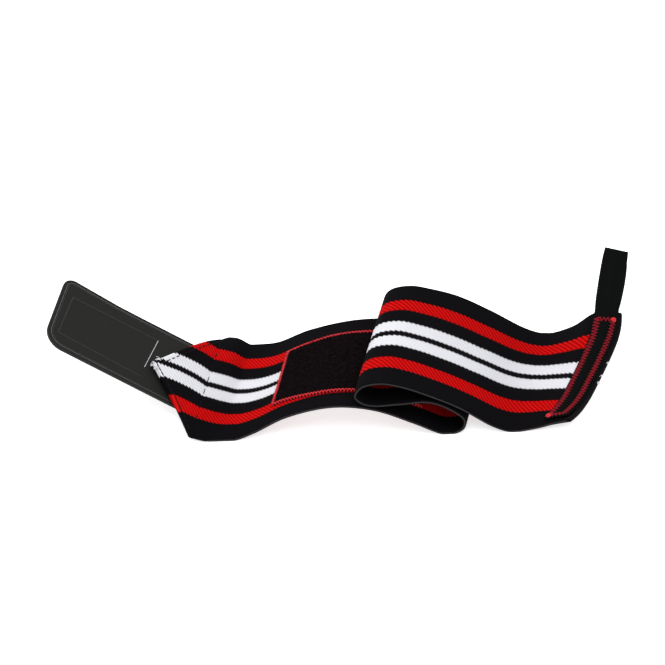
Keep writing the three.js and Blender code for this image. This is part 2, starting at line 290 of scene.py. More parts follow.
def middle(u, w):
    """Where the flat cloth's points u along and w across lie, in the cloth's middle."""
    columns = [np.interp(u, distance, column) for column in line.T]
    return across_line(columns, w / BAND_HALF)


NORMAL_STEP = 0.6 * MM


def laid(u, w, height=0.0):
    """Where the flat cloth's points u along and w across lie, at a height over the cloth's middle."""
    u, w, height = np.broadcast_arrays(np.asarray(u, dtype=float), w, height)
    along = middle(u + NORMAL_STEP, w) - middle(u - NORMAL_STEP, w)
    across = middle(u, w + NORMAL_STEP) - middle(u, w - NORMAL_STEP)
    normal = np.cross(along, across)
    normal /= np.linalg.norm(normal, axis=1)[:, None]
    return middle(u, w) + normal * height[:, None]


# The band's point: the two first corners are turned under along lines that run from the apex out to
# the edges, and the seam across them dents the cloth a little.
FOLD_APEX = 3.8 * MM
FOLD_RUNS = {-1: 32.6 * MM, 1: 35.2 * MM}
FOLD_RADIUS = 1.05 * MM
SEAM_AT = cloth_at("seam")
SEAM_DENT = 0.35 * MM
SEAM_DENT_WIDTH = 0.8 * MM
FOLD_OUT = {
    side: np.array((-BAND_HALF, run)) / math.hypot(BAND_HALF, run)
    for side, run in FOLD_RUNS.items()
}


def folded(u, w, height=0.0):
    """Where the cloth's points lie with its first corners turned under."""
    u, w, height = np.broadcast_arrays(np.asarray(u, dtype=float), w, height)
    out_u, out_w = np.where(w < 0, FOLD_OUT[-1][:, None], FOLD_OUT[1][:, None])
    beyond = (u - FOLD_APEX) * out_u + np.abs(w) * out_w
    turn = np.clip(beyond / FOLD_RADIUS, 0, math.pi)
    round_it = (FOLD_RADIUS + height) * np.sin(turn)
    rolled = np.where(turn < math.pi, round_it, math.pi * FOLD_RADIUS - beyond)
    moved = np.where(beyond > 0, rolled - beyond, 0)
    sunk = (FOLD_RADIUS + height) * np.cos(turn) - FOLD_RADIUS
    side = np.where(w < 0, -1, 1)
    dent = SEAM_DENT * np.exp(-(((u - SEAM_AT) / SEAM_DENT_WIDTH) ** 2))
    return laid(u + moved * out_u, side * (np.abs(w) + moved * out_w), sunk - dent)


# The band's weave: slanting ribs, 2.15 mm apart on the first length and drawn out to 2.72 mm on the
# top one, highest in the red stripes.
RIB_PITCH = 2.5 * MM
FIRST_PITCH = 2.15 * MM
TOP_PITCH = 2.72 * MM
drawn = np.interp(distance, (cloth_at("crest"), cloth_at("left")), (FIRST_PITCH, TOP_PITCH)) / RIB_PITCH
woven_length = np.concatenate([[0], np.cumsum(np.diff(distance) * 2 / (drawn[1:] + drawn[:-1]))])
woven_length -= np.interp(0, distance, woven_length)
WOVEN_LENGTH = float(woven_length[-1])
wander = np.interp(station_count, middle_at, middle_rows["wander"])
RIB_HEIGHT = {"red": 0.1 * MM, "white": 0.035 * MM, "black": 0.015 * MM}
WHITE_STRIPE = (1.9 * MM, 9.4 * MM)
RED_STRIPE = (18.7 * MM, 26.8 * MM)


def woven(u, w):
    """The place in the weave of the flat cloth's points, in metres along and across."""
    share = 1 - np.minimum(np.abs(w) / BAND_HALF, 1) ** 2
    return np.interp(u, distance, woven_length), w - np.interp(u, distance, wander) * share


def in_stripe(w, stripe):
    """Whether a place across the weave lies in a pair of stripes."""
    return (np.abs(w) > stripe[0]) & (np.abs(w) < stripe[1])


def ribs(u, w):
    """The height of the twill's slanting ribs over the cloth's middle."""
    along, across = woven(u, w)
    height = np.where(in_stripe(across, RED_STRIPE), RIB_HEIGHT["red"], RIB_HEIGHT["black"])
    height = np.where(in_stripe(across, WHITE_STRIPE), RIB_HEIGHT["white"], height)
    return height * np.cos(2 * math.pi * (along + across) / RIB_PITCH)


def as_cut(u, w):
    """The pattern of a plain cloth: its own flat measures."""
    return u, w


def bend(bm, name, place, pattern=as_cut):
    """The mesh of a flat cloth bent to its place, with its pattern in metres as its UV map."""
    cloth_map = bm.loops.layers.uv.new("cloth")
    bm.verts.index_update()
    flat = np.array([vert.co for vert in bm.verts])
    spots = np.column_stack(pattern(flat[:, 0], flat[:, 1]))
    for face in bm.faces:
        face.smooth = True
        for loop in face.loops:
            loop[cloth_map].uv = spots[loop.vert.index]
    for vert, spot in zip(bm.verts, place(flat[:, 0], flat[:, 1])):
        vert.co = spot
    mesh = bpy.data.meshes.new(name)
    bm.to_mesh(mesh)
    bm.free()
    return mesh


EDGE_ANGLE = math.radians(60)


def round_edges(piece, width, segments):
    """Rounds a piece's sharp edges."""
    edge = piece.modifiers.new("edge", "BEVEL")
    edge.width = width
    edge.segments = segments
    edge.limit_method = "ANGLE"
    edge.angle_limit = EDGE_ANGLE


def thicken(piece, thickness, edge):
    """Gives a bent cloth its thickness and rounds its edges."""
    solid = piece.modifiers.new("thickness", "SOLIDIFY")
    solid.thickness = thickness
    solid.offset = 0
    round_edges(piece, edge, 2)
    return piece


RIB_STEPS = 4
BAND_ROWS = 52
BAND_EDGE = 0.5 * MM
columns = round((WOVEN_LENGTH + BAND_WIDTH) / RIB_PITCH * RIB_STEPS)
bm = bmesh.new()
bmesh.ops.create_grid(bm, x_segments=columns, y_segments=BAND_ROWS, size=0.5)
# Its columns slant as the ribs do. What runs past an end before the cut keeps the pitch it has
# there.
past = np.array((0, BAND_WIDTH))
whole_woven = np.concatenate([-past[:0:-1], woven_length[distance >= 0], WOVEN_LENGTH + past[1:]])
whole_flat = np.concatenate([-past[:0:-1], distance[distance >= 0], distance[-1] + past[1:]])
for vert in bm.verts:
    across = vert.co.y * BAND_WIDTH
    along = (vert.co.x + 0.5) * (WOVEN_LENGTH + BAND_WIDTH) - BAND_HALF - across
    vert.co.x = np.interp(along, whole_woven, whole_flat)
    vert.co.y = across
for limit, outward in ((0, -1), (BAND_LENGTH, 1)):
    parts = bm.verts[:] + bm.edges[:] + bm.faces[:]
    bmesh.ops.bisect_plane(
        bm,
        geom=parts,
        plane_co=(limit, 0, 0),
        plane_no=(outward, 0, 0),
        clear_outer=True,
    )
# The corners are cut along the lines they roll on, so that the roll is smooth.
FOLD_CUTS = 6
corner_reach = FOLD_APEX + FOLD_RUNS[1] + RIB_PITCH
for side in (-1, 1):
    for cut in range(FOLD_CUTS + 1):
        reach = math.pi * FOLD_RADIUS * cut / FOLD_CUTS
        corner = [face for face in bm.faces if face.calc_center_median().x < corner_reach]
        parts = list({part for face in corner for part in (*face.verts, *face.edges)}) + corner
        outward = Vector((FOLD_OUT[side][0], side * FOLD_OUT[side][1], 0))
        apex = Vector((FOLD_APEX, 0, 0))
        bmesh.ops.bisect_plane(bm, geom=parts, plane_co=apex + outward * reach, plane_no=outward)
band_mesh = bend(bm, "elastic_band_cloth", lambda u, w: folded(u, w, ribs(u, w)), woven)

# The band's woven pattern: masks of its stripes, whose edges are toothed because they follow the
# ribs, and of the ribs, the knots of yarn that cross them and the dots between.


def calc(tree, operation, *values):
    """A math node's result; each value is a number or a socket."""
    node = tree.nodes.new("ShaderNodeMath")
    node.operation = operation
    for socket, value in zip(node.inputs, values):
        if isinstance(value, bpy.types.NodeSocket):
            tree.links.new(value, socket)
        else:
            socket.default_value = value
    return node.outputs[0]


def blend(tree, share, first, second):
    """A colour between two, each a colour or a socket."""
    node = tree.nodes.new("ShaderNodeMix")
    node.data_type = "RGBA"
    tree.links.new(share, node.inputs[0])
    for socket, value in ((node.inputs[6], first), (node.inputs[7], second)):
        if isinstance(value, bpy.types.NodeSocket):
            tree.links.new(value, socket)
        else:
            socket.default_value = (*value, 1)
    return node.outputs[2]


def new_group(name, inputs, outputs):
    """A node group with named inputs and outputs, and its two end nodes."""
    tree = bpy.data.node_groups.new(name, "ShaderNodeTree")
    for label, kind in inputs.items():
        tree.interface.new_socket(label, in_out="INPUT", socket_type="NodeSocket" + kind)
    for label, kind in outputs.items():
        tree.interface.new_socket(label, in_out="OUTPUT", socket_type="NodeSocket" + kind)
    return tree, tree.nodes.new("NodeGroupInput").outputs, tree.nodes.new("NodeGroupOutput").inputs


def wave(tree, value, pitch):
    """A wave from 0 to 1 along a length."""
    turned = calc(tree, "MULTIPLY", value, 2 * math.pi / pitch)
    return calc(tree, "MULTIPLY_ADD", calc(tree, "COSINE", turned), 0.5, 0.5)


def band_mask(tree, value, stripe, soft):
    """1 between a stripe's two edges and 0 outside, with a soft step at each."""
    masks = []
    for edge, rising in ((stripe[0], True), (stripe[1], False)):
        step = tree.nodes.new("ShaderNodeMapRange")
        step.interpolation_type = "SMOOTHSTEP"
        step.inputs["From Min"].default_value = edge - soft
        step.inputs["From Max"].default_value = edge + soft
        step.inputs["To Min"].default_value = 0 if rising else 1
        step.inputs["To Max"].default_value = 1 if rising else 0
        tree.links.new(value, step.inputs["Value"])
        masks.append(step.outputs["Result"])
    return calc(tree, "MULTIPLY", *masks)


def emboss(tree, shader, height, strength, depth):
    """Raises a material's surface by a height, which is a socket."""
    bump = tree.nodes.new("ShaderNodeBump")
    bump.inputs["Strength"].default_value = strength
    bump.inputs["Distance"].default_value = depth
    tree.links.new(height, bump.inputs["Height"])
    tree.links.new(bump.outputs[0], shader.inputs["Normal"])


def cloth_place(tree):
    """The place in a cloth's pattern, in metres."""
    cloth = tree.nodes.new("ShaderNodeUVMap")
    cloth.uv_map = "cloth"
    return cloth.outputs[0]


SERRATION = 1.2 * MM
STRIPE_SOFT = 0.15 * MM
RED_TOOTH = 0.5
KNOT_PITCH = 1.25 * MM
weave, weave_in, weave_out = new_group(
    "woven_stripes",
    {"Cloth": "Vector"},
    {"White": "Float", "Red": "Float", "Rib": "Float", "Knot": "Float", "Dot": "Float"},
)
split = weave.nodes.new("ShaderNodeSeparateXYZ")
weave.links.new(weave_in["Cloth"], split.inputs[0])
slant = calc(weave, "ADD", split.outputs[0], split.outputs[1])
counter = calc(weave, "SUBTRACT", split.outputs[0], split.outputs[1])
tooth = calc(weave, "PINGPONG", slant, RIB_PITCH / 2)
tooth = calc(weave, "MULTIPLY_ADD", tooth, SERRATION / (RIB_PITCH / 2), -SERRATION / 2)
off_middle = calc(weave, "ABSOLUTE", split.outputs[1])
toothed = calc(weave, "ADD", off_middle, tooth)
weave.links.new(band_mask(weave, toothed, WHITE_STRIPE, STRIPE_SOFT), weave_out["White"])
toothed = calc(weave, "MULTIPLY_ADD", tooth, RED_TOOTH, off_middle)
weave.links.new(band_mask(weave, toothed, RED_STRIPE, STRIPE_SOFT), weave_out["Red"])
weave.links.new(wave(weave, slant, RIB_PITCH), weave_out["Rib"])
knot_wave = wave(weave, counter, KNOT_PITCH)
weave.links.new(knot_wave, weave_out["Knot"])
fine_rib = wave(weave, slant, RIB_PITCH / 2)
weave.links.new(calc(weave, "MULTIPLY", fine_rib, knot_wave), weave_out["Dot"])

BLACK = (0.0016, 0.0014, 0.0022)
BLACK_FLECK = (0.009, 0.008, 0.0088)
WHITE = (0.71, 0.71, 0.75)
# Painted shade for the hollows between the white yarns.
WHITE_PAINTED_SHADE = (0.2, 0.22, 0.23)
RED = (0.41, 0.0005, 0.001)
# Painted shade darkens the red in the valleys between its ribs, and a painted highlight lightens the
# crowns where the knots cross them.
RED_PAINTED_SHADE = (0.2, 0.0, 0.0003)
RED_PAINTED_HIGHLIGHT = (0.68, 0.014, 0.012)
striped, tree, shader = shade("woven_elastic", BLACK, 0.9, Specular_IOR_Level=0.03)
stripes = tree.nodes.new("ShaderNodeGroup")
stripes.node_tree = weave
tree.links.new(cloth_place(tree), stripes.inputs["Cloth"])
masks = stripes.outputs
black = blend(tree, masks["Dot"], BLACK, BLACK_FLECK)
# The white is painted darker in the dots, the hollows between its yarns, as painted shade.
white = blend(tree, calc(tree, "POWER", masks["Dot"], 1.3), WHITE, WHITE_PAINTED_SHADE)
# The red is painted darker in the rib valleys as shade, and lighter on the knotted crowns as a painted
# highlight.
red = blend(tree, calc(tree, "POWER", masks["Rib"], 0.45), RED_PAINTED_SHADE, RED)
rib_top = calc(tree, "POWER", masks["Rib"], 3)
painted_glint = calc(tree, "MULTIPLY", rib_top, calc(tree, "MULTIPLY_ADD", masks["Knot"], 0.6, 0.1))
red = blend(tree, painted_glint, red, RED_PAINTED_HIGHLIGHT)
colour = blend(tree, masks["White"], black, white)
colour = blend(tree, masks["Red"], colour, red)
tree.links.new(colour, shader.inputs["Base Color"])
ribbing = calc(tree, "MULTIPLY", masks["Rib"], calc(tree, "MULTIPLY_ADD", masks["Red"], 0.6, 0.2))
relief = calc(tree, "SUBTRACT", ribbing, calc(tree, "MULTIPLY", masks["Dot"], 0.5))
emboss(tree, shader, relief, 0.5, 0.15 * MM)
band = thicken(show(band_mesh, "elastic_band_cloth", striped), BAND_THICKNESS, BAND_EDGE)
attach(band, "root")
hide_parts("elastic_band")

# The selvedges: a fine cord of bound grey yarn runs along the middle of each woven edge of the
# band, and swells a little with every turn of its binding.


def thread(name, paths, radius, material, round_steps=1, swell=None):
    """A piece of sewing thread or yarn: tubes along paths of points, joined in one mesh.

    swell gives the share of the radius that each point of a path has.
    """
    curve = bpy.data.curves.new(name, "CURVE")
    curve.dimensions = "3D"
    curve.bevel_depth = radius
    curve.bevel_resolution = round_steps
    curve.use_fill_caps = True
    for path in paths:
        run = curve.splines.new("POLY")
        run.points.add(len(path) - 1)
        run.points.foreach_set("co", np.column_stack([path, np.ones(len(path))]).ravel())
        if swell is not None:
            run.points.foreach_set("radius", swell)
    holder = bpy.data.objects.new(name, curve)
    scene.collection.objects.link(holder)
    bpy.context.view_layer.update()
    mesh = bpy.data.meshes.new_from_object(holder)
    bpy.data.objects.remove(holder)
    mesh.name = name
    mesh.polygons.foreach_set("use_smooth", [True] * len(mesh.polygons))
    piece = show(mesh, name, material)
    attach(piece, "root")
    return piece


CORD_RADIUS = 0.5 * MM
CORD_PITCH = 1.1 * MM
CORD_STEPS = 4
CORD_PINCH = 0.15
CORD_OUT = 0.1 * MM
CORD_FROM = 0.5 * MM
CORD_TO = BAND_LENGTH - 1.5 * MM
cord_count = round(BAND_LENGTH / CORD_PITCH) * CORD_STEPS
cord_u = np.linspace(CORD_FROM, CORD_TO, cord_count)
cords = [folded(cord_u, np.full(cord_count, side * (BAND_HALF + CORD_OUT))) for side in (-1, 1)]
cord_swell = 1 - CORD_PINCH * (1 - np.cos(2 * math.pi * np.arange(cord_count) / CORD_STEPS))
# The cord's grey is partly the selvedge yarn's own colour and partly a painted highlight along the
# band's edge.
cord_grey_and_highlight = shade("cord_grey_and_highlight", (0.032, 0.029, 0.03), 0.85, Specular_IOR_Level=0.05)[0]
selvedge_cords = thread("selvedge_cords", cords, CORD_RADIUS, cord_grey_and_highlight, swell=cord_swell)

# The point's stitches: black thread, in a straight row inside each turned edge and in a sunken one
# across at the seam, where the tab is sewn under.
THREAD_RADIUS = 0.3 * MM
POINT_ROWS = [
    {"side": -1, "inset": -0.3 * MM, "length": 2.6 * MM, "gap": 0.4 * MM},
    {"side": 1, "inset": 1.9 * MM, "length": 1.9 * MM, "gap": 1.2 * MM},
]
ROW_FROM = 0.9 * MM
ROW_TO = BAND_HALF - 3 * MM
SEAM_ENDS = (-30.3 * MM, 33 * MM)
SEAM_DASH = 5.2 * MM
SEAM_GAP = 4.2 * MM
SEAM_SUNK = 0.15 * MM
STITCH_SHARES = np.array((0, 0.12, 0.5, 0.88, 1))
STITCH_RISE = np.array((-0.5, 0.1, 0.25, 0.1, -0.5)) * MM
black_thread = shade("black_thread", (0.003, 0.003, 0.004), 0.7, Specular_IOR_Level=0.1)[0]


def dashes(place, start, end, length, gap, lift):
    """Straight stitches from one flat point to another, each over the cloth between its two holes."""
    run = np.subtract(end, start)
    whole = float(np.hypot(*run))
    found = []
    at = 0.0
    while at + length < whole:
        share = (at + length * STITCH_SHARES) / whole
        found.append(place(start[0] + run[0] * share, start[1] + run[1] * share, lift + STITCH_RISE))
        at += length + gap
    return found


def inside_fold(side, inset, w):
    """The flat point this far inside a turned edge, at w from the middle."""
    out_u, out_w = FOLD_OUT[side]
    return (FOLD_APEX + (inset + w * out_w) / -out_u, side * w)


point_rows = []
for row in POINT_ROWS:
    start = inside_fold(row["side"], row["inset"], ROW_FROM)
    end = inside_fold(row["side"], row["inset"], ROW_TO)
    point_rows += dashes(folded, start, end, row["length"], row["gap"], BAND_TOP)
seam_from, seam_to = ((SEAM_AT, w) for w in SEAM_ENDS)
point_rows += dashes(folded, seam_from, seam_to, SEAM_DASH, SEAM_GAP, BAND_TOP - SEAM_SUNK)
point_stitches = thread("point_stitches", point_rows, THREAD_RADIUS, black_thread)

# The raw end's overlock: black thread that goes round the cut end in close loops, from one face of
# the band to the other, and keeps the weave from fraying.
OVERLOCK_PITCH = 0.75 * MM
OVERLOCK_DEPTH = 2.8 * MM
OVERLOCK_MARGIN = 0.6 * MM
OVERLOCK_RADIUS = 0.4 * MM
INSIDE_END = BAND_LENGTH - 0.05 * MM
onto_face = np.array((-1, -0.3, 0)) * OVERLOCK_DEPTH
round_end = np.concatenate([onto_face, [0.45 * MM], onto_face[::-1]])
over_under = np.array((0.9, 1.2, 1.15, 0, -1.15, -1.2, -0.9)) * BAND_TOP
overlock_rows = []
for w in np.arange(-BAND_HALF + OVERLOCK_MARGIN, BAND_HALF - OVERLOCK_MARGIN, OVERLOCK_PITCH):
    slip = np.linspace(0, OVERLOCK_PITCH, len(round_end))
    inner = np.minimum(BAND_LENGTH + round_end, INSIDE_END)
    loop = laid(inner, w + slip, over_under)
    outward = laid([BAND_LENGTH], [w], 0.0) - laid([BAND_LENGTH - 2 * MM], [w], 0.0)
    outward /= np.linalg.norm(outward)
    overlock_rows.append(loop + outward * np.maximum(round_end, 0)[:, None])
overlock = thread("end_overlock", overlock_rows, OVERLOCK_RADIUS, black_thread)

# The pile pad: a rectangle of soft black loop fabric that the tab's hooks close on, laid on the
# upper face of the band's first length. It runs in under the fold, and its first edge is a little
# narrower than the rest.
PAD_WIDTH = 53.4 * MM
PAD_HALF = PAD_WIDTH / 2
PAD_NARROW = 0.885
PAD_FLARE = 26 * MM
PAD_FROM = cloth_at("rise", 0.5)
PAD_TO = cloth_at("low")
PAD_LENGTH = PAD_TO - PAD_FROM
PAD_LIFT = BAND_TOP + SEAT_GAP + PAD_THICKNESS / 2
PAD_CELL = 1.2 * MM
PAD_SEW_IN = 1.6 * MM
PAD_PRESSED = 0.3 * MM
PAD_PRESS_WIDTH = 1.1 * MM
PAD_EDGE = 0.45 * MM


def pad_height(u, w):
    """The pad's middle over the band's: pressed in along the rows that sew it on."""
    from_row = np.minimum(np.abs(u - PAD_FROM - PAD_SEW_IN), np.abs(PAD_HALF - PAD_SEW_IN - np.abs(w)))
    return PAD_LIFT - PAD_PRESSED * np.exp(-((from_row / PAD_PRESS_WIDTH) ** 2))


def on_pad(u, w, height):
    """Where the pad's points lie on the band."""
    return laid(u, w * np.interp(u, (PAD_FROM, PAD_FROM + PAD_FLARE), (PAD_NARROW, 1)), height)


def flat_cloth(start, length, width, cell):
    """A flat cloth from start along x, in squares of about a cell."""
    bm = bmesh.new()
    steps = (round(length / cell), round(width / cell))
    bmesh.ops.create_grid(bm, x_segments=steps[0], y_segments=steps[1], size=0.5)
    for vert in bm.verts:
        vert.co.x = start + (vert.co.x + 0.5) * length
        vert.co.y *= width
    return bm


grain, grain_in, grain_out = new_group(
    "grain",
    {"Place": "Vector", "Scale": "Float", "Detail": "Float", "Roughness": "Float"},
    {"Grain": "Float"},
)
noise = grain.nodes.new("ShaderNodeTexNoise")
grain.links.new(grain_in["Place"], noise.inputs["Vector"])
for setting in ("Scale", "Detail", "Roughness"):
    grain.links.new(grain_in[setting], noise.inputs[setting])
grain.links.new(noise.outputs[0], grain_out["Grain"])


def place_grain(tree, **settings):
    """Places the grain in a material with its own settings; its height is the result."""
    place = tree.nodes.new("ShaderNodeTexCoord")
    grains = tree.nodes.new("ShaderNodeGroup")
    grains.node_tree = grain
    tree.links.new(place.outputs["Object"], grains.inputs["Place"])
    for setting, value in settings.items():
        grains.inputs[setting].default_value = value
    return grains.outputs["Grain"]


bm = flat_cloth(PAD_FROM, PAD_LENGTH, PAD_WIDTH, PAD_CELL)
pad_mesh = bend(bm, "loop_pad_cloth", lambda u, w: on_pad(u, w, pad_height(u, w)))
pile_black, tree, shader = shade("pile", (0.005, 0.0035, 0.004), 0.95, Specular_IOR_Level=0.02)
fuzz = place_grain(tree, Scale=520, Detail=5, Roughness=0.7)
# The pile is lighter where its grain stands highest: a random mottle, painted as highlight on the
# raised tufts.
pile_painted_highlight = blend(tree, calc(tree, "POWER", fuzz, 3), (0, 0, 0), (0.03, 0.019, 0.021))
tree.links.new(pile_painted_highlight, shader.inputs["Base Color"])
emboss(tree, shader, fuzz, 0.8, 0.3 * MM)
pad = thicken(show(pad_mesh, "loop_pad_cloth", pile_black), PAD_THICKNESS, PAD_EDGE)
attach(pad, "root")
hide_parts("loop_pad")

# The pad's pile: short loops of black yarn that stand all over its upper face, each turned its own
# way. The hooks of the tab catch in them.
PILE_LOOPS = 5200
PILE_MARGIN = 0.6 * MM
PILE_HEIGHT = 0.55 * MM
PILE_RADIUS = 0.08 * MM
LOOP_REACH = np.array((-1, -0.6, 0.6, 1))
LOOP_RISE = np.array((-0.3, 0.8, 0.8, -0.3))
chance = random.Random(7)
loops = []
for _ in range(PILE_LOOPS):
    u = chance.uniform(PAD_FROM + PILE_MARGIN, PAD_TO - PILE_MARGIN)
    w = chance.uniform(-PAD_HALF + PILE_MARGIN, PAD_HALF - PILE_MARGIN)
    turn = chance.uniform(0, 2 * math.pi)
    reach = chance.uniform(0.3, 0.7) * MM * LOOP_REACH
    foot = float(pad_height(np.array([u]), np.array([w]))[0]) + PAD_THICKNESS / 2
    loops.append(on_pad(
        u + reach * math.cos(turn),
        w + reach * math.sin(turn),
        foot + PILE_HEIGHT * LOOP_RISE * chance.uniform(0.6, 1.1),
    ))
pile_yarn = shade("pile_yarn", (0.009, 0.0055, 0.0065), 0.9, Specular_IOR_Level=0.03)[0]
pile_loops = thread("pile_loops", loops, PILE_RADIUS, pile_yarn, round_steps=0)

# The pad's stitching: pinkish red thread in zigzag rows along its two long edges and its first
# edge. The near row's holes on the outside go down off the pad's edge into the band.
LEG_STEPS = 6
LEG_RISE = np.array((-1, 0.1, 0.3, 0.3, 0.1, -1))


def zigzag(place, start, end, pitch, width, lift, sink=0.4 * MM, fall=0.0):
    """A zigzag row between two flat points, whose legs cross the row and arch over the cloth.

    With a fall, the holes on the left of the row's way go that much lower.
    """
    run = np.subtract(end, start)
    whole = float(np.hypot(*run))
    side = np.array((-run[1], run[0])) / whole
    legs = round(whole / pitch) * 2
    found = []
    for leg in range(legs):
        share = (leg + np.linspace(0, 1, LEG_STEPS)) / legs
        sway = (1 if leg % 2 else -1) * np.linspace(-1, 1, LEG_STEPS) * width / 2
        rise = lift + LEG_RISE * sink - fall * np.clip(sway * 2 / width, 0, 1) ** 2
        found.append(place(
            start[0] + run[0] * share + side[0] * sway,
            start[1] + run[1] * share + side[1] * sway,
            rise,
        ))
    return found


red_thread = shade("red_thread", (0.56, 0.022, 0.03), 0.5, Specular_IOR_Level=0.15)[0]
PAD_ZIGZAG_PITCH = 1.9 * MM
PAD_THREAD_RADIUS = 0.37 * MM
PAD_THREAD_SINK = 0.2 * MM
sew_lift = PAD_LIFT + PAD_THICKNESS / 2 - PAD_PRESSED + 0.12 * MM
sew_near = 0.5 * MM - PAD_HALF
sew_from = PAD_FROM + 0.9 * MM
sew_far = PAD_HALF - 0.75 * MM
PAD_ROWS = [
    {"start": (PAD_TO, sew_near), "end": (sew_from, sew_near), "width": 1.3 * MM, "fall": 0.9 * MM},
    {"start": (sew_from, sew_near), "end": (sew_from, sew_far), "width": 1.7 * MM, "fall": 0},
    {"start": (sew_from, sew_far), "end": (PAD_TO, sew_far), "width": 1.4 * MM, "fall": 0},
]
pad_rows = []
for row in PAD_ROWS:
    pad_rows += zigzag(on_pad, pitch=PAD_ZIGZAG_PITCH, lift=sew_lift, sink=PAD_THREAD_SINK, **row)
pad_stitches = thread("pad_stitches", pad_rows, PAD_THREAD_RADIUS, red_thread)

# The hook tab: a moulded plate of dark rubber with two rounded corners and a groove inside its rim,
# sewn under the band's point. Its own x runs out along it from the point and its z is up from its
# face.
TAB_LENGTH = 88.5 * MM
TAB_WIDTH = 50 * MM
TAB_THICKNESS = 1.7 * MM
TAB_CORNERS = {-1: 6.5 * MM, 1: 11.5 * MM}
TAB_CORNER_STEPS = 12
TAB_SIDE_CUTS = 7
TAB_EDGE = 0.35 * MM
TAB_TAPER = 0.065
TAB_NARROWED = 2.3 * MM
TAB_HEADING = math.radians(4)
TAB_SETBACK = 4.5 * MM
TAB_DROOP = 1.4 * MM
GROOVE_INSET = 2.2 * MM
GROOVE_WIDTH = 0.8 * MM
GROOVE_DEPTH = 0.6 * MM
GROOVE_WALL = 0.12 * MM
even_arch = line.copy()
even_arch[:, -1] = 0


def on_arch(name, share=0.0, along=0.0, across=0.0):
    """A point of the point's even arch: at a station, a little along it and across."""
    u = cloth_at(name, share) + along
    columns = [np.interp([u], distance, column) for column in even_arch.T]
    return Vector(across_line(columns, np.array([across / BAND_HALF]))[0])


step_along = on_arch("midpoint", 0.5, along=MM) - on_arch("midpoint", 0.5, along=-MM)
step_across = on_arch("midpoint", 0.5, across=MM) - on_arch("midpoint", 0.5, across=-MM)
tab_up = step_along.cross(step_across).normalized()
tab_along = Vector((-math.cos(TAB_HEADING), math.sin(TAB_HEADING), 0))
tab_along = (tab_along - tab_up * tab_along.dot(tab_up)).normalized()
tab_across = tab_up.cross(tab_along)
tab_drop = BAND_TOP + BAND_THICKNESS + SEAT_GAP + TAB_DROOP + TAB_THICKNESS / 2
tab_root = on_arch("seam") - tab_up * tab_drop + tab_along * TAB_SETBACK


def on_tab(x, y, z):
    """Points of the tab's own frame in the room."""
    x, y, z = np.broadcast_arrays(np.asarray(x, dtype=float), y, z)
    spots = np.outer(x, tab_along) + np.outer(y, tab_across) + np.outer(z, tab_up)
    return spots + np.array(tab_root)


bm = bmesh.new()
bmesh.ops.create_grid(bm, x_segments=1, y_segments=1, size=0.5)
for vert in bm.verts:
    vert.co.x = (vert.co.x + 0.5) * TAB_LENGTH
    vert.co.y *= TAB_WIDTH
    vert.co.z = TAB_THICKNESS / 2
far_side = [edge for edge in bm.edges if all(vert.co.y < 0 for vert in edge.verts)]
bmesh.ops.subdivide_edges(bm, edges=far_side, cuts=TAB_SIDE_CUTS)
for side, radius in TAB_CORNERS.items():
    corner = [max(bm.verts, key=lambda vert: vert.co.x + 2 * side * vert.co.y)]
    bmesh.ops.bevel(
        bm,
        geom=corner,
        offset=radius,
        segments=TAB_CORNER_STEPS,
        profile=0.5,
        affect="VERTICES",
        material=-1,
    )
for vert in bm.verts:
    taper = min(TAB_TAPER * (TAB_LENGTH - vert.co.x), TAB_NARROWED)
    vert.co.y += taper * max(-vert.co.y, 0) / (TAB_WIDTH / 2)
face = bm.faces[:][0]
sheet_face = bmesh.ops.extrude_face_region(bm, geom=[face])
lower = [part for part in sheet_face["geom"] if isinstance(part, bmesh.types.BMVert)]
bmesh.ops.translate(bm, verts=lower, vec=(0, 0, -TAB_THICKNESS))
bmesh.ops.recalc_face_normals(bm, faces=bm.faces[:])
GROOVE_STEPS = (
    (GROOVE_INSET, 0),
    (GROOVE_WALL, -GROOVE_DEPTH),
    (GROOVE_WIDTH - 2 * GROOVE_WALL, 0),
    (GROOVE_WALL, GROOVE_DEPTH),
)
rims = []
for inset, depth in GROOVE_STEPS:
    top = max(bm.faces, key=lambda f: (f.normal.z > 0.99) * f.calc_area())
    bmesh.ops.inset_individual(bm, faces=[top], thickness=inset, depth=depth)
    corners = [vert.co.copy() for vert in top.verts]
    rims.append(np.array(corners + corners[:1]))
flat = np.array([vert.co for vert in bm.verts])
for vert, spot in zip(bm.verts, on_tab(*flat.T)):
    vert.co = spot
tab_mesh = bpy.data.meshes.new("hook_tab_plate")
bm.to_mesh(tab_mesh)
bm.free()
tab_grey, tree, shader = shade("tab_rubber", (0.009, 0.0095, 0.0085), 0.55, Specular_IOR_Level=0.16)
emboss(tree, shader, place_grain(tree, Scale=2200, Detail=2, Roughness=0.5), 0.25, 0.1 * MM)
tab = show(tab_mesh, "hook_tab_plate", tab_grey)
round_edges(tab, TAB_EDGE, 3)
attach(tab, "root")
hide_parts("hook_tab")

# The groove's beads: a fine bead moulded along each side of the tab's groove. Both are painted lighter
# than the rubber as a highlight: the outer one brighter, the inner one finer and dimmer.
BEAD = 0.17 * MM
INNER_BEAD = BEAD * 0.8
bead_painted_highlight = shade("bead_painted_highlight", (0.085, 0.085, 0.083), 0.45)[0]
bead_painted_dim_highlight = shade("bead_painted_dim_highlight", (0.03, 0.03, 0.029), 0.45)[0]
thread("tab_outer_bead", [on_tab(*rims[0].T)], BEAD, bead_painted_highlight)
thread("tab_inner_bead", [on_tab(*rims[-1].T)], INNER_BEAD, bead_painted_dim_highlight)

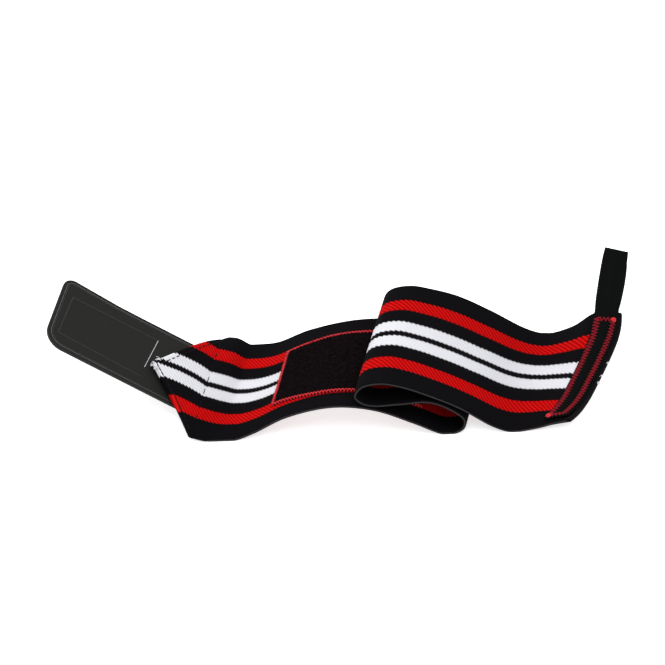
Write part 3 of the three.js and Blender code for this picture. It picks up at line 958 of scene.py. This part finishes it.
# The tab's frame: a hairline pressed into the plate round a bare field. Its side toward the point
# is painted light as a highlight and stops short of the near corner.
FRAME_CORNERS = ((81, -12.9), (27.8, -12.9), (31.2, 16.5), (82, 15))
HAIRLINE = 0.16 * MM
corners = [np.array(corner) * MM for corner in FRAME_CORNERS]
hairlines = []
for start, end in zip(corners, corners[1:] + corners[:1]):
    share = np.linspace(0, 1, 9)[:, None]
    spots = start + (end - start) * share
    hairlines.append(on_tab(spots[:, 0], spots[:, 1], TAB_THICKNESS / 2))
hairline_grey = shade("hairline_grey", (0.02, 0.02, 0.02), 0.5)[0]
hairline_painted_highlight = shade("hairline_painted_highlight", (0.6, 0.6, 0.6), 0.5)[0]
thread("tab_frame", [hairlines[0], hairlines[2], hairlines[3]], HAIRLINE, hairline_grey)
thread("tab_frame_side", [hairlines[1][:7]], HAIRLINE, hairline_painted_highlight)

# The tab's hooks: rows of small bent hooks, moulded in one with the plate on its underside, which
# catch in the pad's pile when the wrap is closed.
HOOK_PITCH = 1.9 * MM
HOOK_MARGIN = 4 * MM
HOOK_RADIUS = 0.13 * MM
hook_reach = np.array((0, 0, 0.25, 0.5)) * MM
hook_drop = np.array((0.2, -0.7, -1.0, -0.75)) * MM - TAB_THICKNESS / 2
hooks = []
for x in np.arange(HOOK_MARGIN, TAB_LENGTH - HOOK_MARGIN, HOOK_PITCH):
    for y in np.arange(-TAB_WIDTH / 2 + HOOK_MARGIN, TAB_WIDTH / 2 - HOOK_MARGIN, HOOK_PITCH):
        hooks.append(on_tab(x + hook_reach, y, hook_drop))
thread("tab_hooks", hooks, HOOK_RADIUS, tab_grey, round_steps=0)

# The narrow elastic: black and ribbed, 13 mm wide. It is sewn flat across the band's end, runs out
# past the far edge as the thumb loop and comes back beneath.
ELASTIC_WIDTH = 13 * MM
ELASTIC_THICKNESS = 1.5 * MM
ELASTIC_EDGE = 0.4 * MM
ELASTIC_SAMPLES = 24
LOOP_LENGTH = 46 * MM
LOOP_OPENING = 6.5 * MM
LOOP_EASE = 0.2
LOOP_SLIP = 0.6 * MM
LOOP_SLIP_EASE = 0.07
END_MARGIN = 2 * MM
ELASTIC_HOLD = BAND_TOP + BENT_GAP + ELASTIC_THICKNESS / 2
LOOP_DIRECTION = np.array((0.03, 1, 0.02)) / np.linalg.norm((0.03, 1, 0.02))
SEWN_ABOVE = (-0.93, -0.6, -0.2, 0.2, 0.6, 0.8, 0.96)
SEWN_BELOW = (0.96, 0.7)
SEWN_NARROW = 0.92
NARROWS_BETWEEN = (0.8, 0.96)
# Rows of the loop. out: share of LOOP_LENGTH past the edge. gape: share of LOOP_OPENING. roll:
# degrees that the row turns. width: share of ELASTIC_WIDTH.
LOOP_ROWS = [
    (0.14, 0.12, 8, 1.06),
    (0.32, 0.45, 4, 1.09),
    (0.5, 0.85, 0, 1.1),
    (0.7, 1, -4, 1.1),
    (0.86, 1, -7, 1.07),
    (0.96, 0.75, -9, 1.03),
]
LOOP_TIP = (1, 0, -9, 0.96)
ACROSS_COUNT = 5
ELASTIC_COLUMNS = np.linspace(-1, 1, ACROSS_COUNT)
END_TRIES = np.linspace(0, 30, 301) * MM


def back_from_end(reach, w):
    """How far along the cloth a point lies that is this far back from the raw end, at w across."""
    tries = BAND_LENGTH - END_TRIES
    spots = middle(tries, np.full(len(tries), w))
    return float(np.interp(reach, np.linalg.norm(spots - spots[0], axis=1), tries))


def sewn_row(across, side):
    """A crosswise row of the elastic where it lies on the band, above it or below."""
    w = across * BAND_HALF
    width = ELASTIC_WIDTH * np.interp(across, NARROWS_BETWEEN, (1, SEWN_NARROW))
    reach = END_MARGIN + width / 2 * (1 - ELASTIC_COLUMNS)
    return laid([back_from_end(r, w) for r in reach], w, side * ELASTIC_HOLD)


loop_root = back_from_end(END_MARGIN + ELASTIC_WIDTH / 2, BAND_HALF)
loop_edge = laid([loop_root], [BAND_HALF])[0]
edge_outward = loop_edge - laid([loop_root], [0.9 * BAND_HALF])[0]
edge_outward /= np.linalg.norm(edge_outward)


def loop_row(out, gape, roll, width, side):
    """A crosswise row of the elastic past the band's edge."""
    heading = LOOP_DIRECTION + (edge_outward - LOOP_DIRECTION) * math.exp(-out / LOOP_EASE)
    crosswise = np.array((math.cos(math.radians(roll)), 0, math.sin(math.radians(roll))))
    spots = loop_edge + heading * out * LOOP_LENGTH
    spots[0] += LOOP_SLIP * (1 - math.exp(-out / LOOP_SLIP_EASE))
    spots = spots + np.outer(ELASTIC_COLUMNS, crosswise) * width * ELASTIC_WIDTH / 2
    spots[:, 2] += side * (ELASTIC_HOLD + gape * LOOP_OPENING / 2)
    return spots


elastic_rows = [sewn_row(across, 1) for across in SEWN_ABOVE]
elastic_rows += [loop_row(*row, 1) for row in LOOP_ROWS]
elastic_rows += [loop_row(*LOOP_TIP, 0)]
elastic_rows += [loop_row(*row, -1) for row in reversed(LOOP_ROWS)]
elastic_rows += [sewn_row(across, -1) for across in SEWN_BELOW]
# The points of the smooth run hold each row's length and height first, as the band's do.
rows = np.array(elastic_rows)
row_gap = np.linalg.norm(np.diff(rows[:, 2], axis=0), axis=1)
row_at = np.concatenate([[0], np.cumsum(row_gap)])
knots = np.column_stack([row_at, np.zeros(len(rows)), rows.reshape(len(rows), -1)])
_, run = spline(knots, ELASTIC_SAMPLES)
run_at = run[:, 0]
run_spots = run[:, 2:].reshape(len(run), ACROSS_COUNT, 3)
ELASTIC_LENGTH = float(run_at[-1])


def elastic_middle(s, q):
    """The elastic's middle s along it and q across it."""
    found = np.zeros((len(s), 3))
    place = np.clip((q / ELASTIC_WIDTH + 0.5) * (ACROSS_COUNT - 1), 0, ACROSS_COUNT - 1)
    low = np.clip(np.floor(place).astype(int), 0, ACROSS_COUNT - 2)
    for axis in range(3):
        table = np.array([np.interp(s, run_at, run_spots[:, k, axis]) for k in range(ACROSS_COUNT)])
        low_value = table[low, np.arange(len(s))]
        high_value = table[low + 1, np.arange(len(s))]
        found[:, axis] = low_value + (high_value - low_value) * (place - low)
    return found


def on_elastic(s, q, height=0.0):
    """Where the flat elastic's points lie, at a height over its middle."""
    s, q, height = np.broadcast_arrays(np.asarray(s, dtype=float), q, height)
    along = elastic_middle(s + NORMAL_STEP, q) - elastic_middle(s - NORMAL_STEP, q)
    across = elastic_middle(s, q + NORMAL_STEP) - elastic_middle(s, q - NORMAL_STEP)
    normal = np.cross(across, along)
    normal /= np.linalg.norm(normal, axis=1)[:, None]
    return elastic_middle(s, q) + normal * height[:, None]


ELASTIC_CELL = 0.5 * MM
CHEVRON_PITCH = 1.8 * MM
CHEVRON_HEIGHT = 0.09 * MM


def chevrons(s, q):
    """The elastic's ribs meet in a chevron along its middle."""
    return CHEVRON_HEIGHT * np.cos(2 * math.pi * (s + np.abs(q)) / CHEVRON_PITCH)


bm = flat_cloth(0, ELASTIC_LENGTH, ELASTIC_WIDTH, ELASTIC_CELL)
bmesh.ops.reverse_faces(bm, faces=bm.faces[:])
elastic_mesh = bend(bm, "thumb_elastic_cloth", lambda s, q: on_elastic(s, q, chevrons(s, q)))
ribbed, tree, shader = shade("ribbed_elastic", (0.004, 0.0045, 0.0042), 0.85, Specular_IOR_Level=0.02)
split = tree.nodes.new("ShaderNodeSeparateXYZ")
tree.links.new(cloth_place(tree), split.inputs[0])
chevron = calc(tree, "ADD", split.outputs[0], calc(tree, "ABSOLUTE", split.outputs[1]))
# The chevron ribs are painted lighter on their crowns as a highlight and darker in their grooves as
# shade.
painted_ridge_light = calc(tree, "POWER", wave(tree, chevron, CHEVRON_PITCH), 3)
colour = blend(tree, painted_ridge_light, (0.0008, 0.001, 0.0009), (0.008, 0.0095, 0.009))
tree.links.new(colour, shader.inputs["Base Color"])
elastic = thicken(show(elastic_mesh, "thumb_elastic_cloth", ribbed), ELASTIC_THICKNESS, ELASTIC_EDGE)
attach(elastic, "root")
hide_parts("thumb_elastic")

# The narrow elastic's stitching: dark red thread in zigzag rows along both its edges and across its
# two ends. The rows end in a brighter, coiled knot at two of its corners.
dark_thread = shade("dark_red_thread", (0.19, 0.004, 0.011), 0.6, Specular_IOR_Level=0.12)[0]
STRIP_TO = float(np.interp(len(SEWN_ABOVE) - 1, np.arange(len(rows)), row_at))
STRIP_PITCH = 2 * MM
STRIP_RADIUS = 0.36 * MM
near_q, far_q = (2 * MM - ELASTIC_WIDTH / 2, ELASTIC_WIDTH / 2 - 3.1 * MM)
first_s, last_s = (1.8 * MM, STRIP_TO - 4 * MM)
side_from, side_to = (1.5 * MM, STRIP_TO - 2.8 * MM)
STRIP_ROWS = [
    {"start": (side_from, near_q), "end": (side_to, near_q), "width": 2.8 * MM},
    {"start": (side_from, far_q), "end": (side_to, far_q), "width": 2.8 * MM},
    {"start": (first_s, near_q), "end": (first_s, far_q), "width": 2.4 * MM},
    {"start": (last_s, near_q), "end": (last_s, far_q), "width": 2.4 * MM},
]
strip_lift = ELASTIC_THICKNESS / 2 + 0.15 * MM
strip_rows = []
for row in STRIP_ROWS:
    strip_rows += zigzag(on_elastic, pitch=STRIP_PITCH, lift=strip_lift, **row)
strip_stitches = thread("strip_stitches", strip_rows, STRIP_RADIUS, dark_thread)
KNOTS = [(0.9 * MM, near_q), (STRIP_TO - 4.2 * MM, far_q)]
KNOT_STEPS = 31
KNOT_RADIUS = 0.4 * MM
knot_turns = np.linspace(0, 5 * math.pi, KNOT_STEPS)
knot_reach = np.linspace(0.25 * MM, 1.35 * MM, KNOT_STEPS)
knot_rise = strip_lift + np.linspace(1.7 * MM, 0.3 * MM, KNOT_STEPS)
coil = (knot_reach * np.cos(knot_turns), knot_reach * np.sin(knot_turns))
knot_rows = [on_elastic(s + coil[0], q + coil[1], knot_rise) for s, q in KNOTS]
strip_knots = thread("strip_knots", knot_rows, KNOT_RADIUS, red_thread)

# The yarn tufts: loose ends of the white stripes' yarns. They stick out through the overlock of the
# raw end, and out of the folded tip of the point.
yarn_white = shade("yarn_white", (0.66, 0.66, 0.68), 0.8, Specular_IOR_Level=0.1)[0]
YARNS_PER_TUFT = 7
YARN_STEPS = 5
YARN_RADIUS = 0.14 * MM
YARN_LIFT = BAND_TOP + 0.2 * MM
end_u = BAND_LENGTH - 0.6 * MM
tip_u = FOLD_APEX + 1.2 * MM
TUFTS = [
    {"place": (end_u, 6 * MM), "reach": (2.6 * MM, 1.2 * MM)},
    {"place": (end_u, -3.5 * MM), "reach": (2.2 * MM, 0.8 * MM)},
    {"place": (end_u, -8 * MM), "reach": (2.6 * MM, -0.8 * MM)},
    {"place": (tip_u, 2.4 * MM), "reach": (-2.4 * MM, 0.6 * MM)},
    {"place": (tip_u, -3.4 * MM), "reach": (-2.2 * MM, -1 * MM)},
]
yarns = []
for tuft in TUFTS:
    for _ in range(YARNS_PER_TUFT):
        share = np.linspace(0, 1, YARN_STEPS)
        u, w = (place + chance.uniform(-0.7, 0.7) * MM for place in tuft["place"])
        length = chance.uniform(0.5, 1)
        bent = share**1.5 * chance.uniform(-0.8, 0.8) * MM
        rise = YARN_LIFT + (0.5 - share) * share * chance.uniform(0.6, 2) * MM
        base = laid(u + 0 * share, w + 0 * share, rise)
        along = laid([u - MM], [w])[0] - laid([u], [w])[0]
        across = laid([u], [w + MM])[0] - laid([u], [w])[0]
        run_u, run_w = tuft["reach"]
        ahead = np.outer(share * run_u * length / MM, along)
        aside = np.outer((share * run_w * length + bent) / MM, across)
        yarns.append(base - ahead + aside)
yarn_tufts = thread("yarn_tufts", yarns, YARN_RADIUS, yarn_white)
